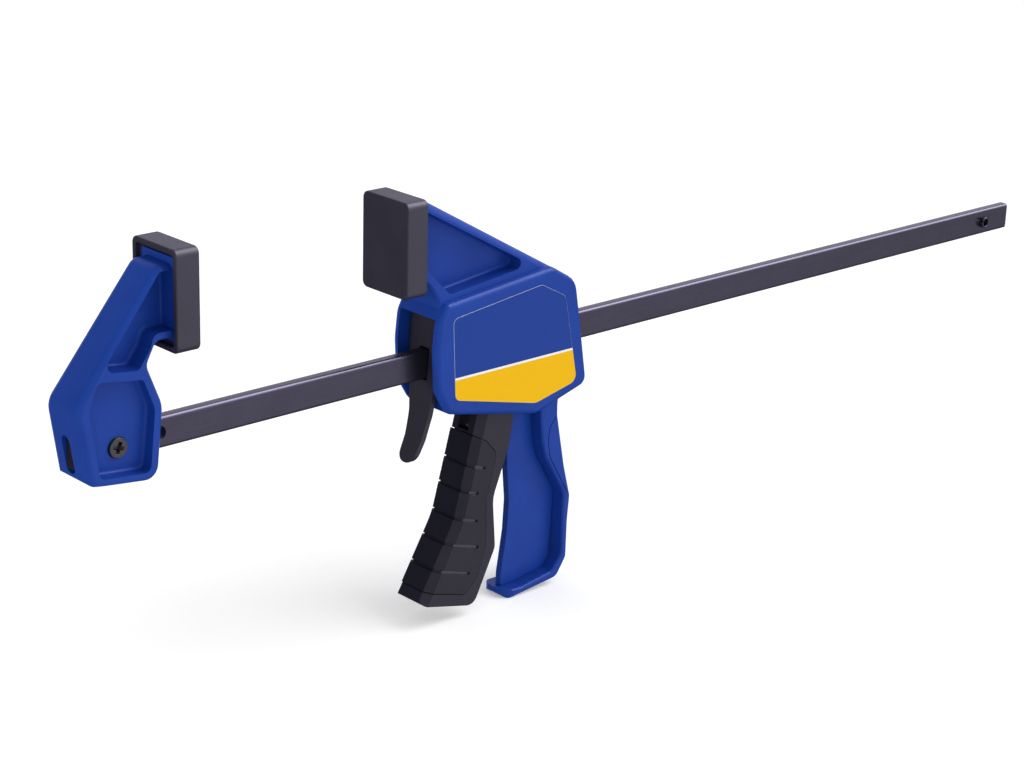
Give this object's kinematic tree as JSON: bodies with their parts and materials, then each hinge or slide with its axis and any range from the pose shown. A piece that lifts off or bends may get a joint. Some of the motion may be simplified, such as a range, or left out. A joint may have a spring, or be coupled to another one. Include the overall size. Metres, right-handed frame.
{
  "type": "one-handed bar clamp",
  "caption": "One-handed bar clamp: a jaw screwed to a flat steel bar, and a squeeze-trigger body with the second jaw, a pistol handle and a release lever.",
  "frame": {"origin": "middle of the bar's section, in the plane of the fixed jaw's clamping face", "axes": "+X along the bar to its free end, +Z from the bar up to the two pads, +Y across the clamp, y = 0 its middle plane"},
  "size_m": [0.5126, 0.026, 0.173],
  "materials": {
    "bar_steel": "black oxide, satin",
    "pin_steel": "plain steel, satin",
    "screw_steel": "zinc, satin",
    "blue_plastic": "moulded, fine texture, satin",
    "pad_rubber": "matte",
    "label_print": "printed film, satin",
    "trigger_plastic": "moulded, satin",
    "grip_rubber": "matte",
    "plate_steel": "hardened steel, satin",
    "lever_steel": "black coated, satin",
    "spring_steel": "spring wire"
  },
  "bodies": {
    "bar_and_fixed_jaw": {"bar": "bar_steel", "bar_stop_pin": "pin_steel", "fixed_jaw": "blue_plastic", "fixed_jaw_screw": "screw_steel", "fixed_jaw_nut": "screw_steel", "fixed_jaw_pad": "pad_rubber"},
    "body": {"clamp_body": "blue_plastic", "handle_web": "blue_plastic", "moving_jaw_pad": "pad_rubber", "palm_pad": "blue_plastic", "label_near": "label_print", "label_far": "label_print", "trigger_pivot_pin": "pin_steel", "drive_spring": "spring_steel", "brake_spring": "spring_steel"},
    "trigger": {"trigger": "trigger_plastic", "trigger_grip": "grip_rubber"},
    "drive_plates": {"drive_plate_front": "plate_steel", "drive_plate_rear": "plate_steel"},
    "release_lever": {"release_lever": "lever_steel"}
  },
  "joints": [
    {"name": "body_slide", "type": "slide", "parent": "bar_and_fixed_jaw", "child": "body", "axis": [1, 0, 0], "range_m": [-0.0903, 0.2625]},
    {"name": "trigger_squeeze", "type": "hinge", "parent": "body", "child": "trigger", "pos_m": [0.1424, 0, 0.02], "axis": [0, -1, 0], "range_deg": [0, 18], "stiffness_Nm_per_rad": 0.6, "springref_deg": -22.92},
    {"name": "plate_drive", "type": "slide", "parent": "body", "child": "drive_plates", "axis": [1, 0, 0], "range_m": [0, 0.00301], "deforming": ["drive_spring"]},
    {"name": "release_pull", "type": "hinge", "parent": "body", "child": "release_lever", "pos_m": [0.113, 0, 0.0225], "axis": [0, -1, 0], "range_deg": [0, 4], "stiffness_Nm_per_rad": 0.5, "springref_deg": -17.19, "deforming": ["brake_spring"]}
  ],
  "couplings": [
    {"joint": "plate_drive", "follows": "trigger_squeeze", "m_per_rad": 0.00958}
  ]
}
